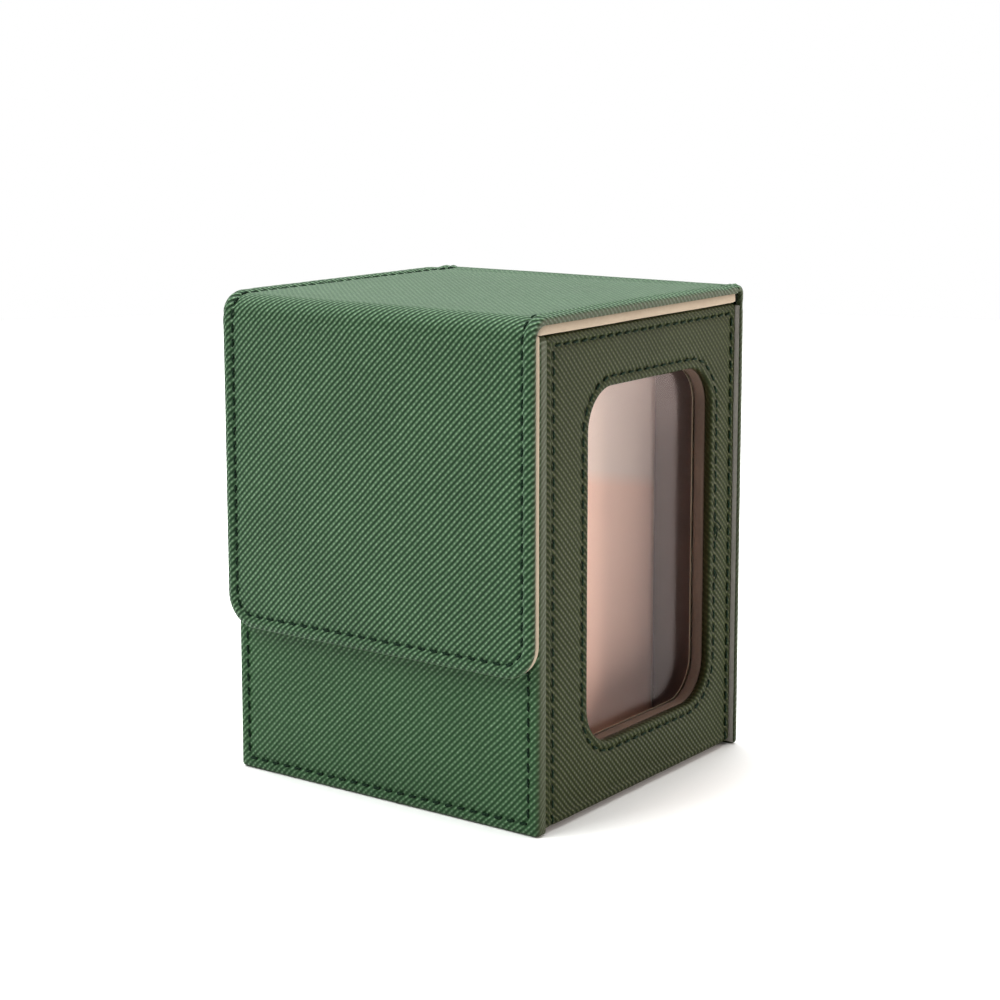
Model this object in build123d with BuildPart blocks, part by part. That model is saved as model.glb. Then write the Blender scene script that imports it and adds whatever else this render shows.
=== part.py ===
"""Flip-top card deck box with a display window in its side wall.

A wrapped cover (back panel, lid and front flap) folds over an open-topped box.
Row frame: millimetres, +Z up, origin at the middle of the underside, the flap
faces -Y, the window faces +X and the lid is hinged along the top back edge.
"""

from build123d import *
import os

# ---------------------------------------------------------------- driving sizes
overall_height = 100.0
cover_width = 77.2  # back panel, lid and flap, across X
front_width = 76.0  # lower front panel, across X
box_width = 75.0  # over the outer faces of the two side walls
cover_depth = 77.5  # over the stitching on the flap and on the back panel
wall_top = 96.0  # top edge of the four walls
side_bottom = 0.8  # the side walls stop just above the ground

leather = 0.4  # thickness of the embossed covering
suede = 0.4  # thickness of the soft lining
wall_board = 2.0  # grey board in the front, left and bottom walls
back_board_thickness = 1.0
rear_board_thickness = 1.6
partition_board_thickness = 1.6

lid_board_thickness = 1.35
lid_lining_thickness = 1.8
flap_board_thickness = 0.85
flap_lining_thickness = 1.1
fold_lining_thickness = 0.6  # soft strip round the inside of the roll, with no board
flap_gap = 0.2  # air between the closed flap and the front panel

fold_radius = 4.5  # soft roll between lid and flap
flap_bottom = 31.0  # height of the flap's lower edge
flap_corner = 7.0
hinge_reach = 2.6  # how far the hinge skin reaches forward over the lid
hinge_drop = 4.0  # and down the back panel
hinge_corner = 1.2
lining_setback = 0.15  # lid and flap linings stop just short of the edges

window_width = 46.0  # along Y
window_height = 71.0  # along Z
window_front_land = 17.7  # front face to the opening
window_sill = 13.0
window_corner = 8.5
window_board_thickness = 1.3
window_frame_thickness = 2.6
film_thickness = 0.3
film_overlap = 4.0  # how far the film reaches behind the frame
window_lining_thickness = 0.7
slot_width = 13.6  # space for a displayed card in its holder

magnet_diameter = 10.0
magnet_spacing = 44.0
magnet_height = 41.0
keeper_thickness = 1.0

stitch_pitch = 3.0
stitch_length = 2.0
stitch_width = 0.45
stitch_proud = 0.15
cover_stitch_inset = 2.7
front_stitch_inset = 2.4
side_front_inset = 2.9
side_top_inset = 2.1
side_back_inset = 1.9
window_stitch_offset = 2.0

# ---------------------------------------------------------------- worked-out places
wall = leather + wall_board + suede
flap_thickness = leather + flap_board_thickness + flap_lining_thickness
back_panel = leather + back_board_thickness

flap_face = -cover_depth / 2 + stitch_proud
flap_back = flap_face + flap_thickness
front_face = flap_back + flap_gap
front_inside = front_face + wall
back_face = cover_depth / 2 - stitch_proud
back_inside = back_face - back_panel
rear_inside = back_inside - rear_board_thickness - suede

lid_top = overall_height - stitch_proud
lid_board_bottom = lid_top - leather - lid_board_thickness
lid_bottom = lid_board_bottom - lid_lining_thickness
fold_y = flap_face + fold_radius  # where the lid ends and the roll begins
fold_z = lid_top - fold_radius  # where the roll ends and the flap begins
lid_rear = back_face - hinge_reach

window_face = box_width / 2
left_face = -box_width / 2
left_inside = left_face + wall
frame_outside = window_face - leather - window_board_thickness
film_outside = frame_outside - window_frame_thickness
window_inside = film_outside - window_lining_thickness
window_y = front_face + window_front_land + window_width / 2
window_z = window_sill + window_height / 2

partition_thickness = partition_board_thickness + 2 * suede
partition_outside = window_inside - slot_width
partition_inside = partition_outside - partition_thickness
partition_top = wall_top - 2.0

side_length = back_inside - front_inside
side_y = (front_inside + back_inside) / 2
side_height = wall_top - side_bottom
side_z = (wall_top + side_bottom) / 2
bay_length = rear_inside - front_inside
bay_y = (front_inside + rear_inside) / 2
inner_width = window_inside - left_inside
inner_x = (window_inside + left_inside) / 2
inner_height = wall_top - wall

os.makedirs("parts", exist_ok=True)


def outward_plane(x, y, z, x_dir, normal):
    """Sketch plane on a panel's outer face, its normal pointing out of the box."""
    return Plane(origin=(x, y, z), x_dir=x_dir, z_dir=normal)


def save(piece, name):
    """Label a finished piece and write it as its own STEP file."""
    piece.label = name
    export_step(piece, f"parts/{name}.step")


def slab(plane, width, height, thickness, start=0.0):
    """Flat rectangular sheet whose outer side lies `start` behind the plane."""
    with BuildPart() as sheet:
        with BuildSketch(plane.offset(-start)):
            Rectangle(width, height)
        extrude(amount=-thickness)
    return sheet.part


def wrapped_skin(plane, width, height, depth):
    """Covering over a board's outer face, turned in over its four edges."""
    with BuildPart() as skin:
        with BuildSketch(plane):
            Rectangle(width, height)
        extrude(amount=-depth)
        with BuildSketch(plane.offset(-leather)):
            Rectangle(width - 2 * leather, height - 2 * leather)
        extrude(amount=-(depth - leather), mode=Mode.SUBTRACT)
    return skin.part


def stitches(plane, path):
    """Row of short thread bars lying on the plane along a closed or open wire."""
    count = max(2, round(path.length / stitch_pitch))
    places = []
    for index in range(count):
        middle = (index + 0.5) / count
        point = plane.from_local_coords(path.position_at(middle))
        along = plane.from_local_coords(path.position_at(middle) + path.tangent_at(middle)) - point
        places.append(Plane(origin=point, x_dir=along, z_dir=plane.z_dir).location)
    return places


def thread(rows):
    """One piece of stitching made of every bar in the given rows."""
    with BuildPart() as bars:
        with Locations(*[place for row in rows for place in row]):
            Box(
                stitch_length,
                stitch_width,
                stitch_proud,
                align=(Align.CENTER, Align.CENTER, Align.MIN),
            )
    return bars.part


def straight(start, end):
    """Straight stitching path between two points of a panel's own plane."""
    return Wire([Line(start, end)])


# ---------------------------------------------------------------- panel planes
front_plane = outward_plane(0, front_face, wall_top / 2, (1, 0, 0), (0, -1, 0))
window_plane = outward_plane(window_face, side_y, side_z, (0, 1, 0), (1, 0, 0))
left_plane = outward_plane(left_face, side_y, side_z, (0, -1, 0), (-1, 0, 0))
back_panel_height = lid_top - hinge_drop
back_plane = outward_plane(0, back_face, back_panel_height / 2, (-1, 0, 0), (0, 1, 0))
bottom_plane = outward_plane(inner_x, side_y, 0, (-1, 0, 0), (0, 0, -1))
rear_plane = outward_plane(inner_x, back_inside, wall + inner_height / 2, (-1, 0, 0), (0, 1, 0))
partition_height = partition_top - wall
partition_plane = outward_plane(
    partition_outside, bay_y, wall + partition_height / 2, (0, 1, 0), (1, 0, 0)
)

# ---------------------------------------------------------------- front wall
front_skin = wrapped_skin(front_plane, front_width, wall_top, wall)
save(front_skin, "front_skin")

keeper_level = magnet_height - wall_top / 2
with BuildPart() as front_board:
    with BuildSketch(front_plane.offset(-leather)):
        Rectangle(front_width - 2 * leather, wall_top - 2 * leather)
    extrude(amount=-wall_board)
    with BuildSketch(front_plane.offset(-leather)):
        with Locations((0, keeper_level)):
            with GridLocations(magnet_spacing, 0, 2, 1):
                Circle(magnet_diameter / 2)
    extrude(amount=-keeper_thickness, mode=Mode.SUBTRACT)
save(front_board.part, "front_board")

with BuildPart() as front_keepers:
    with BuildSketch(front_plane.offset(-leather)):
        with Locations((0, keeper_level)):
            with GridLocations(magnet_spacing, 0, 2, 1):
                Circle(magnet_diameter / 2)
    extrude(amount=-keeper_thickness)
save(front_keepers.part, "front_keepers")

front_lining = slab(
    front_plane, front_width - 2 * leather, wall_top - 2 * leather, suede, leather + wall_board
)
save(front_lining, "front_lining")

# ---------------------------------------------------------------- left wall
left_skin = wrapped_skin(left_plane, side_length, side_height, wall)
save(left_skin, "left_skin")
left_board = slab(
    left_plane, side_length - 2 * leather, side_height - 2 * leather, wall_board, leather
)
save(left_board, "left_board")
left_lining = slab(
    left_plane, side_length - 2 * leather, side_height - 2 * leather, suede, leather + wall_board
)
save(left_lining, "left_lining")

# ---------------------------------------------------------------- window wall
window_at = (window_y - side_y, window_z - side_z)
window_skin_depth = leather + window_board_thickness
with BuildPart() as window_skin:
    with BuildSketch(window_plane):
        Rectangle(side_length, side_height)
    extrude(amount=-window_skin_depth)
    with BuildSketch(window_plane.offset(-leather)):
        Rectangle(side_length - 2 * leather, side_height - 2 * leather)
        with Locations(window_at):
            RectangleRounded(
                window_width + 2 * leather,
                window_height + 2 * leather,
                window_corner + leather,
                mode=Mode.SUBTRACT,
            )
    extrude(amount=-window_board_thickness, mode=Mode.SUBTRACT)
    with BuildSketch(window_plane):
        with Locations(window_at):
            RectangleRounded(window_width, window_height, window_corner)
    extrude(amount=-window_skin_depth, mode=Mode.SUBTRACT)
save(window_skin.part, "window_skin")

with BuildPart() as window_board:
    with BuildSketch(window_plane.offset(-leather)):
        Rectangle(side_length - 2 * leather, side_height - 2 * leather)
        with Locations(window_at):
            RectangleRounded(
                window_width + 2 * leather,
                window_height + 2 * leather,
                window_corner + leather,
                mode=Mode.SUBTRACT,
            )
    extrude(amount=-window_board_thickness)
save(window_board.part, "window_board")

with BuildPart() as window_frame:
    with BuildSketch(window_plane.offset(-window_skin_depth)):
        Rectangle(side_length, side_height)
        with Locations(window_at):
            RectangleRounded(window_width, window_height, window_corner, mode=Mode.SUBTRACT)
    extrude(amount=-window_frame_thickness)
save(window_frame.part, "window_frame")

film_depth = window_skin_depth + window_frame_thickness
film_width = window_width + 2 * film_overlap
film_height = window_height + 2 * film_overlap
with BuildPart() as window_film:
    with BuildSketch(window_plane.offset(-film_depth)):
        with Locations(window_at):
            Rectangle(film_width, film_height)
    extrude(amount=-film_thickness)
save(window_film.part, "window_film")

with BuildPart() as window_lining:
    with BuildSketch(window_plane.offset(-film_depth)):
        Rectangle(side_length, side_height)
    extrude(amount=-window_lining_thickness)
    with BuildSketch(window_plane.offset(-film_depth)):
        with Locations(window_at):
            Rectangle(film_width, film_height)
    extrude(amount=-film_thickness, mode=Mode.SUBTRACT)
    with BuildSketch(window_plane.offset(-film_depth)):
        with Locations(window_at):
            RectangleRounded(window_width, window_height, window_corner)
    extrude(amount=-window_lining_thickness, mode=Mode.SUBTRACT)
save(window_lining.part, "window_lining")

# ---------------------------------------------------------------- bottom
bottom_skin = slab(bottom_plane, inner_width, side_length, leather)
save(bottom_skin, "bottom_skin")
bottom_board = slab(bottom_plane, inner_width, side_length, wall_board, leather)
save(bottom_board, "bottom_board")
bottom_lining = slab(bottom_plane, inner_width, side_length, suede, leather + wall_board)
save(bottom_lining, "bottom_lining")

# ---------------------------------------------------------------- rear wall of the box
rear_board = slab(rear_plane, inner_width, inner_height, rear_board_thickness)
save(rear_board, "rear_board")
rear_lining = slab(rear_plane, inner_width, inner_height, suede, rear_board_thickness)
save(rear_lining, "rear_lining")

# ---------------------------------------------------------------- card partition
slot_lining = slab(partition_plane, bay_length, partition_height, suede)
save(slot_lining, "slot_lining")
partition_board = slab(
    partition_plane, bay_length, partition_height, partition_board_thickness, suede
)
save(partition_board, "partition_board")
partition_lining = slab(
    partition_plane, bay_length, partition_height, suede, suede + partition_board_thickness
)
save(partition_lining, "partition_lining")

# ---------------------------------------------------------------- back panel of the cover
back_skin = wrapped_skin(back_plane, cover_width, back_panel_height, back_panel)
save(back_skin, "back_skin")
back_board = slab(
    back_plane,
    cover_width - 2 * leather,
    back_panel_height - 2 * leather,
    back_board_thickness,
    leather,
)
save(back_board, "back_board")

# ---------------------------------------------------------------- hinge skin
with BuildPart() as hinge_skin:
    with BuildSketch(Plane.YZ.offset(-cover_width / 2)):
        with BuildLine():
            outside = FilletPolyline(
                (back_face, back_panel_height),
                (back_face, lid_top),
                (lid_rear, lid_top),
                radius=hinge_corner,
            )
            inside = FilletPolyline(
                (back_face - leather, back_panel_height),
                (back_face - leather, lid_top - leather),
                (lid_rear, lid_top - leather),
                radius=hinge_corner - leather,
            )
            Line(outside @ 0, inside @ 0)
            Line(outside @ 1, inside @ 1)
        make_face()
    extrude(amount=cover_width)
save(hinge_skin.part, "hinge_skin")

# ---------------------------------------------------------------- lid
lid_length = lid_rear - fold_y
lid_y = (lid_rear + fold_y) / 2
lid_plane = outward_plane(0, lid_y, lid_top, (1, 0, 0), (0, 0, 1))
with BuildPart() as lid_skin:
    with BuildSketch(lid_plane):
        Rectangle(cover_width, lid_length)
    extrude(amount=-(leather + lid_board_thickness))
    with BuildSketch(lid_plane.offset(-leather)):
        Rectangle(cover_width - 2 * leather, lid_length)
    extrude(amount=-lid_board_thickness, mode=Mode.SUBTRACT)
save(lid_skin.part, "lid_skin")
lid_board = slab(lid_plane, cover_width - 2 * leather, lid_length, lid_board_thickness, leather)
save(lid_board, "lid_board")
lid_lining = slab(
    lid_plane,
    cover_width - 2 * lining_setback,
    lid_length - 2 * lining_setback,
    lid_lining_thickness,
    leather + lid_board_thickness,
)
save(lid_lining, "lid_lining")

# ---------------------------------------------------------------- soft roll between lid and flap
def roll(outer_radius, inner_radius, setback):
    """Quarter ring across the cover, round the roll's centre line."""
    with BuildPart() as ring:
        with BuildSketch(Plane.YZ.offset(-cover_width / 2 + setback)):
            with Locations((fold_y, fold_z)):
                Circle(outer_radius)
                Circle(inner_radius, mode=Mode.SUBTRACT)
                Rectangle(
                    outer_radius,
                    outer_radius,
                    align=(Align.MAX, Align.MIN),
                    mode=Mode.INTERSECT,
                )
        extrude(amount=cover_width - 2 * setback)
    return ring.part


lining_radius = fold_radius - leather - flap_board_thickness
fold_skin = roll(fold_radius, lining_radius, 0.0)
save(fold_skin, "fold_skin")
fold_lining = roll(lining_radius, lining_radius - fold_lining_thickness, lining_setback)
save(fold_lining, "fold_lining")

# ---------------------------------------------------------------- flap
flap_plane = outward_plane(0, flap_face, fold_z, (1, 0, 0), (0, -1, 0))
flap_length = fold_z - flap_bottom


def flap_outline(inset, top=0.0):
    """Flap outline on its own plane: square at the roll, rounded at the free edge."""
    half = cover_width / 2 - inset
    low = -flap_length + inset
    radius = flap_corner - inset
    with BuildSketch(Plane.XY) as outline:
        with BuildLine():
            FilletPolyline(
                (-half, top), (-half, low), (half, low), (half, top), radius=radius
            )
            Line((-half, top), (half, top))
        make_face()
    return outline.sketch


magnet_level = magnet_height - fold_z
with BuildPart() as flap_skin:
    with BuildSketch(flap_plane):
        add(flap_outline(0.0))
    extrude(amount=-(leather + flap_board_thickness))
    with BuildSketch(flap_plane.offset(-leather)):
        add(flap_outline(leather))
    extrude(amount=-flap_board_thickness, mode=Mode.SUBTRACT)
save(flap_skin.part, "flap_skin")

with BuildPart() as flap_board:
    with BuildSketch(flap_plane.offset(-leather)):
        add(flap_outline(leather))
        with Locations((0, magnet_level)):
            with GridLocations(magnet_spacing, 0, 2, 1):
                Circle(magnet_diameter / 2, mode=Mode.SUBTRACT)
    extrude(amount=-flap_board_thickness)
save(flap_board.part, "flap_board")

with BuildPart() as flap_magnets:
    with BuildSketch(flap_plane.offset(-leather)):
        with Locations((0, magnet_level)):
            with GridLocations(magnet_spacing, 0, 2, 1):
                Circle(magnet_diameter / 2)
    extrude(amount=-flap_board_thickness)
save(flap_magnets.part, "flap_magnets")

with BuildPart() as flap_lining:
    with BuildSketch(flap_plane.offset(-leather - flap_board_thickness)):
        add(flap_outline(lining_setback))
    extrude(amount=-flap_lining_thickness)
save(flap_lining.part, "flap_lining")

# ---------------------------------------------------------------- stitching
cover_run = cover_width / 2 - cover_stitch_inset
flap_low = -flap_length + cover_stitch_inset
flap_path = Wire(
    FilletPolyline(
        (-cover_run, 0),
        (-cover_run, flap_low),
        (cover_run, flap_low),
        (cover_run, 0),
        radius=flap_corner - cover_stitch_inset,
    ).edges()
)
save(thread([stitches(flap_plane, flap_path)]), "flap_stitching")

lid_half = lid_length / 2
lid_rows = [
    stitches(lid_plane, straight((side * cover_run, -lid_half), (side * cover_run, lid_half)))
    for side in (-1, 1)
]
save(thread(lid_rows), "lid_stitching")

back_half = back_panel_height / 2
back_corners = [
    (-cover_run, back_half),
    (-cover_run, -back_half + cover_stitch_inset),
    (cover_run, -back_half + cover_stitch_inset),
    (cover_run, back_half),
]
back_rows = [
    stitches(back_plane, straight(start, end))
    for start, end in zip(back_corners, back_corners[1:])
]
save(thread(back_rows), "back_stitching")

front_half = front_width / 2 - front_stitch_inset
front_high = wall_top / 2 - front_stitch_inset
front_corners = [
    (-front_half, front_high),
    (-front_half, -front_high),
    (front_half, -front_high),
    (front_half, front_high),
    (-front_half, front_high),
]
front_rows = [
    stitches(front_plane, straight(start, end))
    for start, end in zip(front_corners, front_corners[1:])
]
save(thread(front_rows), "front_stitching")

side_half = side_length / 2
side_high = side_height / 2 - side_top_inset
window_corners = [
    (-side_half + side_front_inset, -side_height / 2),
    (-side_half + side_front_inset, side_high),
    (side_half - side_back_inset, side_high),
    (side_half - side_back_inset, -side_height / 2),
]
window_rows = [
    stitches(window_plane, straight(start, end))
    for start, end in zip(window_corners, window_corners[1:])
]
with BuildSketch(Plane.XY) as window_seam:
    with Locations(window_at):
        RectangleRounded(
            window_width + 2 * window_stitch_offset,
            window_height + 2 * window_stitch_offset,
            window_corner + window_stitch_offset,
        )
window_rows.append(stitches(window_plane, window_seam.face().outer_wire()))
save(thread(window_rows), "window_stitching")

left_rows = [
    stitches(left_plane, straight((-start[0], start[1]), (-end[0], end[1])))
    for start, end in zip(window_corners, window_corners[1:])
]
save(thread(left_rows), "left_stitching")
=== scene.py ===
"""Looks of the flip-top card deck box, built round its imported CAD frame.

Flat work is done in millimetres: every covering is laid out flat as (u, v), with h above
its outer face, and a place function wraps it onto the box. Objects are in metres.
"""

import math
import random

import bpy
import numpy as np
from mathutils import Matrix, Vector, noise
from mathutils.kdtree import KDTree


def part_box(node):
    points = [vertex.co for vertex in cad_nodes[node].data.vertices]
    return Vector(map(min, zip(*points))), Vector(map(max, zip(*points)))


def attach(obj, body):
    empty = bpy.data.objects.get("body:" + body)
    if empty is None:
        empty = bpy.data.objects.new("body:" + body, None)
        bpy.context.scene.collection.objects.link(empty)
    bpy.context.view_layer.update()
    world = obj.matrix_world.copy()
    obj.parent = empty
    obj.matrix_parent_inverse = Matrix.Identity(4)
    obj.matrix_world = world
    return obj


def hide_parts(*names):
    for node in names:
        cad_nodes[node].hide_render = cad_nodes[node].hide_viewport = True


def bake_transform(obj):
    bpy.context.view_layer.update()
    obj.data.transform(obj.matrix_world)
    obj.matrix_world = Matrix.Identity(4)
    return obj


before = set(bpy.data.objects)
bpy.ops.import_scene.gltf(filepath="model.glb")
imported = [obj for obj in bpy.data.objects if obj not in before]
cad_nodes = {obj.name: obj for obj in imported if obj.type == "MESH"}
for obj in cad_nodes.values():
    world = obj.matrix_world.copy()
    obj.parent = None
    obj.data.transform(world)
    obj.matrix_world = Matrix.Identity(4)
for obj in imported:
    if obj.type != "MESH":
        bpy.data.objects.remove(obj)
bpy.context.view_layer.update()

MM = 0.001
random.seed(11)


# -------------------------------- sizes from the frame, in mm
def corners(node):
    """Lowest and highest corner of a CAD node in millimetres."""
    low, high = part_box(node)
    return low / MM, high / MM


lid_low, lid_high = corners("lid_skin")
roll_low, roll_high = corners("fold_skin")
flap_low, flap_high = corners("flap_skin")
back_low, back_high = corners("back_skin")
front_low, front_high = corners("front_skin")
left_low, left_high = corners("left_skin")
window_low, window_high = corners("window_skin")
frame_low, _ = corners("window_frame")
film_low, film_high = corners("window_film")
bottom_low, bottom_high = corners("bottom_skin")
lid_lining_low, lid_lining_high = corners("lid_lining")
_, flap_lining_high = corners("flap_lining")
partition_low, partition_high = corners("partition_board")
slot_low, slot_high = corners("slot_lining")

cover_width = lid_high.x - lid_low.x
roll_radius = roll_high.z - roll_low.z
roll_run = roll_radius * math.pi / 2
lid_run = lid_high.y - lid_low.y
flap_run = flap_high.z - flap_low.z
wall = front_high.y - front_low.y
lid_depth = lid_high.z - lid_low.z
back_depth = back_high.y - back_low.y

leather_gauge = 0.4
flap_corner = 7.0
cover_seam = 2.7
front_seam = 2.4
side_front_seam = 2.9
side_top_seam = 2.1
side_back_seam = 1.9
cover_bend = 0.7  # radius of the covering's edge round lid and flap
flap_turn = 0.85  # how far the covering is turned in round the flap's edge
window_seam = 2.0
window_corner = 8.5
film_overlap = 4.0
stitch_pitch = 3.0
stitch_reach = 1.8  # length of thread that shows in each stitch
thread_radius = 0.24
tail_radius = 0.13  # of a cut thread end
deepest = 0.36  # a groove stays above the board under the leather
hand_wave = 0.07  # slow unevenness of a glued covering
turned_in = 0.9  # border points deeper than this lie under the board's edge, without relief
hinge_bend = 1.9  # radius of the hinge skin over the lid's rear corner
window_bend = 0.7  # radius of the covering's edge round the opening
board_edge = 0.45  # wear on the boards' edges
metal_edge = 0.2
ridge_pitch = 0.96  # spacing of the embossed ridges
painted_reflection_low = 58.0  # level at which the painted reflection on the partition starts
painted_reflection_high = 61.5
painted_reflection_slope = 0.19
fold_strip_depth = 0.47


# -------------------------------- seams
def rounded_line(points, radius, closed, step=0.1):
    """Evenly spaced points along a polyline whose corners are rounded by arcs."""
    count = len(points)
    trace = []
    for index, point in enumerate(points):
        here = Vector(point)
        if not closed and index in (0, count - 1):
            trace.append(here)
            continue
        before = (Vector(points[index - 1]) - here).normalized()
        after = (Vector(points[(index + 1) % count]) - here).normalized()
        centre = here + (before + after) * radius
        for part in range(13):
            angle = math.pi / 2 * part / 12
            trace.append(centre - after * radius * math.cos(angle) - before * radius * math.sin(angle))
    if closed:
        trace.append(trace[0].copy())
    lengths = [0.0]
    for first, second in zip(trace, trace[1:]):
        lengths.append(lengths[-1] + (second - first).length)
    samples = np.linspace(0, lengths[-1], max(2, round(lengths[-1] / step)))
    xs = np.interp(samples, lengths, [p.x for p in trace])
    ys = np.interp(samples, lengths, [p.y for p in trace])
    return list(zip(xs, ys)), lengths[-1]


class Seam:
    """A line of stitching in flat millimetres, with the groove that it pulls into the leather."""

    def __init__(self, points, radius, closed=False):
        self.line, self.length = rounded_line(points, radius, closed)
        self.count = max(1, round(self.length / stitch_pitch))
        self.pitch = self.length / self.count
        self.tree = KDTree(len(self.line))
        for index, (u, v) in enumerate(self.line):
            self.tree.insert((u, v, 0), index)
        self.tree.balance()

    def at(self, distance):
        """Point on the seam and its direction there."""
        share = min(max(distance / self.length, 0), 1) * (len(self.line) - 1)
        index = min(int(share), len(self.line) - 2)
        first = Vector(self.line[index])
        second = Vector(self.line[index + 1])
        return first.lerp(second, share - index), (second - first).normalized()

    def groove(self, u, v):
        """How far the leather is pulled down (negative) near the seam."""
        _, index, away = self.tree.find((u, v, 0))
        if away > 3.0:
            return 0.0
        phase = 2 * math.pi * index / (len(self.line) - 1) * self.count
        tug = 0.5 - 0.5 * math.cos(phase)  # 1 in the middle of a stitch, 0 at the needle holes
        narrow = math.exp(-((away / 0.42) ** 2))
        wide = math.exp(-((away / 1.25) ** 2))
        hole = math.exp(-((away / 0.3) ** 2)) * math.exp(-((tug / 0.12) ** 2))
        return -narrow * (0.10 + 0.08 * tug) - wide * (0.16 + 0.10 * tug) - 0.10 * hole


# -------------------------------- flat grids
def quarter_round(bend, parts):
    """(inset, height) of a soft edge, from the side up to the face."""
    steps = []
    for part in range(parts + 1):
        angle = math.pi / 2 * part / parts
        steps.append((bend - bend * math.cos(angle), -bend + bend * math.sin(angle)))
    return steps


def wrapped_border(depth, seam, bend, lip=0.32, reach=7.6):
    """(inset, height) from the turned-in back, round a soft edge, over the seam to the field."""
    steps = [(1.5, 0.25 - depth), (0.5, 0.06 - depth), (0.16, 0.06 - depth), (0.02, 0.22 - depth)]
    steps.extend(quarter_round(bend, 6))
    inset = bend
    while inset < reach - 0.3:
        near = min(1.0, abs(inset - seam) / 1.6)
        inset += 0.2 + 0.5 * near * near
        rise = lip * math.sin(math.pi * inset / seam) if inset < seam else 0.0
        steps.append((min(inset, reach), rise))
    steps[-1] = (reach, 0.0)
    return steps


def lining_border(depth, bend=0.5):
    """(inset, height) for a soft lining: rounded edge, then a flat face."""
    reach = 7.0
    steps = [(1.2, -depth), (0.4, -depth), (0.1, -depth + 0.12)]
    steps.extend(quarter_round(bend, 5))
    inset = bend
    while inset < reach - 0.5:
        inset += 0.9
        steps.append((min(inset, reach), 0.0))
    steps[-1] = (reach, 0.0)
    return steps


def unrolled(border):
    """Insets measured along the covering instead of across the panel."""
    flat = [border[-1][0]]
    for outer, inner in zip(reversed(border[:-1]), reversed(border[1:])):
        flat.append(flat[-1] - math.dist(outer, inner))
    return flat[::-1]


def corner_place(ki, kj, insets, radius):
    """Distances from the side edge and the end edge of a border point in a rounded corner."""
    last = len(insets) - 1
    ring = min(ki, kj)
    inset = insets[ring]
    turn = max(radius - inset, 0.0)
    straight = insets[-1] - max(radius, inset)
    along = (straight + turn * math.pi / 4) * (last - max(ki, kj)) / (last - ring)
    if along <= straight or turn == 0:
        near = inset
        far = insets[-1] - along
    else:
        angle = (along - straight) / turn
        near = radius - turn * math.cos(angle)
        far = radius - turn * math.sin(angle)
    return (near, far) if ki <= kj else (far, near)


def sheet_grid(width, length, border, corner=1.0, open_start=False, spacing=0.6, start_corner=1.0):
    """Rows of (u, v, h, flat u, flat v) over a panel; u is centred and v runs from 0 to length."""
    insets = [inset for inset, _ in border]
    heights = [height for _, height in border]
    flats = unrolled(border)
    last = len(border) - 1
    across = round((width - 2 * insets[-1]) / spacing)
    start = 0 if open_start else last
    ends = insets[-1] * (1 if open_start else 2)
    down = round((length - ends) / spacing)
    columns = 2 * last + across
    rows = start + down + last
    first_v = 0.0 if open_start else insets[-1]

    def locate(i, j, ring_insets):
        ki = min(i, columns - i, last)
        kj = min(last if open_start else j, rows - j, last)
        u = -width / 2 + insets[-1] + (i - last) * (width - 2 * insets[-1]) / across
        v = first_v + (j - start) * (length - ends) / down
        if ki < last and kj < last:
            radius = corner if j > rows / 2 else start_corner
            from_side, from_end = corner_place(ki, kj, ring_insets, radius)
        else:
            from_side = ring_insets[ki]
            from_end = ring_insets[kj]
        if ki < last:
            u = math.copysign(width / 2 - from_side, i - columns / 2)
        elif kj < last and ki == last and (i <= last or i >= columns - last):
            u = math.copysign(width / 2 - insets[-1], i - columns / 2)
        if kj < last:
            v = length - from_end if j > rows / 2 or open_start else from_end
        return u, v

    grid = []
    for j in range(rows + 1):
        row = []
        for i in range(columns + 1):
            ring = min(i, columns - i, rows - j, last)
            if not open_start:
                ring = min(ring, j)
            u, v = locate(i, j, insets)
            flat_u, flat_v = locate(i, j, flats)
            row.append((u, v, heights[ring], flat_u, flat_v))
        grid.append(row)
    return grid


def side_points(width, length, radius, inset, counts):
    """Loop of points round a centred rectangle; each side runs between its corners' diagonals."""
    half_u = width / 2 - inset
    half_v = length / 2 - inset
    turn = max(radius - inset, 0.0)
    arc = turn * math.pi / 4
    points = []
    for side in range(4):
        reach = half_u if side % 2 == 0 else half_v
        other = half_v if side % 2 == 0 else half_u
        straight = 2 * (reach - turn)
        total = straight + 2 * arc
        for step in range(counts[side % 2]):
            along = total * step / counts[side % 2]
            if along < arc:
                angle = math.pi / 4 + along / turn
                a = -reach + turn - turn * math.cos(angle)
                b = -other + turn - turn * math.sin(angle)
            elif along > arc + straight:
                angle = (along - arc - straight) / turn
                a = reach - turn + turn * math.sin(angle)
                b = -other + turn - turn * math.cos(angle)
            else:
                a = -reach + turn + along - arc
                b = -other
            for _ in range(side):
                a, b = -b, a
            points.append((a, b))
    return points


# -------------------------------- meshes
def outward(place):
    """True if (u, v) turn anticlockwise seen from outside, so that faces need no flip."""
    here = place(0.0, 20.0, 0.0)
    du = place(0.1, 20.0, 0.0) - here
    dv = place(0.0, 20.1, 0.0) - here
    dh = place(0.0, 20.0, 0.1) - here
    return du.cross(dv).dot(dh) > 0


def make_object(name, points, faces, flats=None, rims=None):
    """Mesh object with its flat millimetre layout as a UV map and how far it is turned in."""
    mesh = bpy.data.meshes.new(name)
    mesh.from_pydata(points, [], faces)
    if flats is not None:
        layer = mesh.uv_layers.new(name="flat")
        owners = np.zeros(len(mesh.loops), dtype=np.int32)
        mesh.loops.foreach_get("vertex_index", owners)
        layer.data.foreach_set("uv", np.array(flats, dtype=np.float32)[owners].ravel())
    if rims is not None:
        attribute = mesh.attributes.new("rim", "FLOAT", "POINT")
        attribute.data.foreach_set("value", np.array(rims, dtype=np.float32))
    mesh.validate()
    mesh.update()
    mesh.shade_smooth()
    piece = bpy.data.objects.new(name, mesh)
    bpy.context.scene.collection.objects.link(piece)
    return piece


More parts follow.
